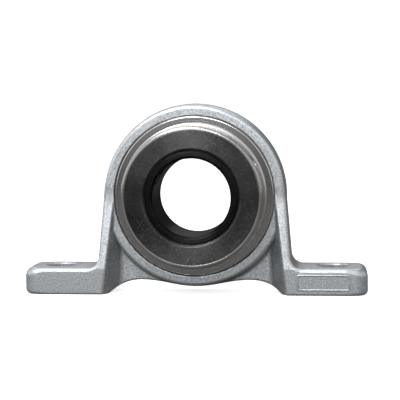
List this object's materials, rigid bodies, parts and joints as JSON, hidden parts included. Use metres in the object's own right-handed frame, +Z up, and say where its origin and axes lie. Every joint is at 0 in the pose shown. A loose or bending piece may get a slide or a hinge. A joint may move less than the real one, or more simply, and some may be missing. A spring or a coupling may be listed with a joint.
{
  "type": "pillow block ball bearing unit",
  "caption": "Pillow block unit: a die-cast housing on two bolted feet holds a self-aligning ball bearing insert with a locking collar and set screws.",
  "frame": {"origin": "on the mounting surface, midway between the bolt holes, directly below the shaft centre", "axes": "+X along the feet, +Z up, -Y towards the locking collar's side, so the shaft runs along Y"},
  "size_m": [0.112, 0.0258, 0.062],
  "materials": {
    "zinc_casting": "satin die-cast zinc",
    "ground_steel": "ground and polished",
    "dark_steel": "blackened, oiled",
    "ball_steel": "mirror polished",
    "cage_brass": "pressed",
    "seal_rubber": "moulded",
    "screw_steel": "black oxide"
  },
  "bodies": {
    "housing": {"housing": "zinc_casting"},
    "outer": {"outer_ring": "ground_steel", "seal_core_front": "ground_steel", "seal_lip_front": "seal_rubber", "seal_core_back": "ground_steel", "seal_lip_back": "seal_rubber"},
    "shaft_side": {"inner_ring": "dark_steel", "flinger": "ground_steel", "locking_collar": "dark_steel"},
    "screw_left": {"set_screw_left": "screw_steel"},
    "screw_right": {"set_screw_right": "screw_steel"},
    "cage": {"cage_half_front": "cage_brass", "cage_half_back": "cage_brass", "cage_rivets": "cage_brass"},
    "ball_1": {"ball_1": "ball_steel"},
    "ball_2": {"ball_2": "ball_steel"},
    "ball_3": {"ball_3": "ball_steel"},
    "ball_4": {"ball_4": "ball_steel"},
    "ball_5": {"ball_5": "ball_steel"},
    "ball_6": {"ball_6": "ball_steel"},
    "ball_7": {"ball_7": "ball_steel"},
    "ball_8": {"ball_8": "ball_steel"},
    "ball_9": {"ball_9": "ball_steel"}
  },
  "joints": [
    {"name": "insert_swivel", "type": "hinge", "parent": "housing", "child": "outer", "pos_m": [0, 0, 0.032], "axis": [0, 0, 1], "range_deg": [-3, 3]},
    {"name": "shaft_spin", "type": "hinge", "parent": "outer", "child": "shaft_side", "pos_m": [0, 0, 0.032], "axis": [0, -1, 0], "continuous": true},
    {"name": "cage_spin", "type": "hinge", "parent": "outer", "child": "cage", "pos_m": [0, 0, 0.032], "axis": [0, -1, 0], "continuous": true},
    {"name": "ball_1_spin", "type": "hinge", "parent": "cage", "child": "ball_1", "pos_m": [0, 0, 0.0515], "axis": [0, -1, 0], "continuous": true},
    {"name": "ball_2_spin", "type": "hinge", "parent": "cage", "child": "ball_2", "pos_m": [-0.01253, 0, 0.04694], "axis": [0, -1, 0], "continuous": true},
    {"name": "ball_3_spin", "type": "hinge", "parent": "cage", "child": "ball_3", "pos_m": [-0.0192, 0, 0.03539], "axis": [0, -1, 0], "continuous": true},
    {"name": "ball_4_spin", "type": "hinge", "parent": "cage", "child": "ball_4", "pos_m": [-0.01689, 0, 0.02225], "axis": [0, -1, 0], "continuous": true},
    {"name": "ball_5_spin", "type": "hinge", "parent": "cage", "child": "ball_5", "pos_m": [-0.00667, 0, 0.01368], "axis": [0, -1, 0], "continuous": true},
    {"name": "ball_6_spin", "type": "hinge", "parent": "cage", "child": "ball_6", "pos_m": [0.00667, 0, 0.01368], "axis": [0, -1, 0], "continuous": true},
    {"name": "ball_7_spin", "type": "hinge", "parent": "cage", "child": "ball_7", "pos_m": [0.01689, 0, 0.02225], "axis": [0, -1, 0], "continuous": true},
    {"name": "ball_8_spin", "type": "hinge", "parent": "cage", "child": "ball_8", "pos_m": [0.0192, 0, 0.03539], "axis": [0, -1, 0], "continuous": true},
    {"name": "ball_9_spin", "type": "hinge", "parent": "cage", "child": "ball_9", "pos_m": [0.01253, 0, 0.04694], "axis": [0, -1, 0], "continuous": true},
    {"name": "screw_left_travel", "type": "slide", "parent": "shaft_side", "child": "screw_left", "axis": [-0.866, 0, 0.5], "range_m": [0, 0.0012]},
    {"name": "screw_right_travel", "type": "slide", "parent": "shaft_side", "child": "screw_right", "axis": [0.866, 0, 0.5], "range_m": [0, 0.0012]}
  ],
  "couplings": [
    {"joint": "cage_spin", "follows": "shaft_spin", "ratio": 0.3982},
    {"joint": "ball_1_spin", "follows": "shaft_spin", "ratio": -2.3541},
    {"joint": "ball_2_spin", "follows": "shaft_spin", "ratio": -2.3541},
    {"joint": "ball_3_spin", "follows": "shaft_spin", "ratio": -2.3541},
    {"joint": "ball_4_spin", "follows": "shaft_spin", "ratio": -2.3541},
    {"joint": "ball_5_spin", "follows": "shaft_spin", "ratio": -2.3541},
    {"joint": "ball_6_spin", "follows": "shaft_spin", "ratio": -2.3541},
    {"joint": "ball_7_spin", "follows": "shaft_spin", "ratio": -2.3541},
    {"joint": "ball_8_spin", "follows": "shaft_spin", "ratio": -2.3541},
    {"joint": "ball_9_spin", "follows": "shaft_spin", "ratio": -2.3541}
  ]
}
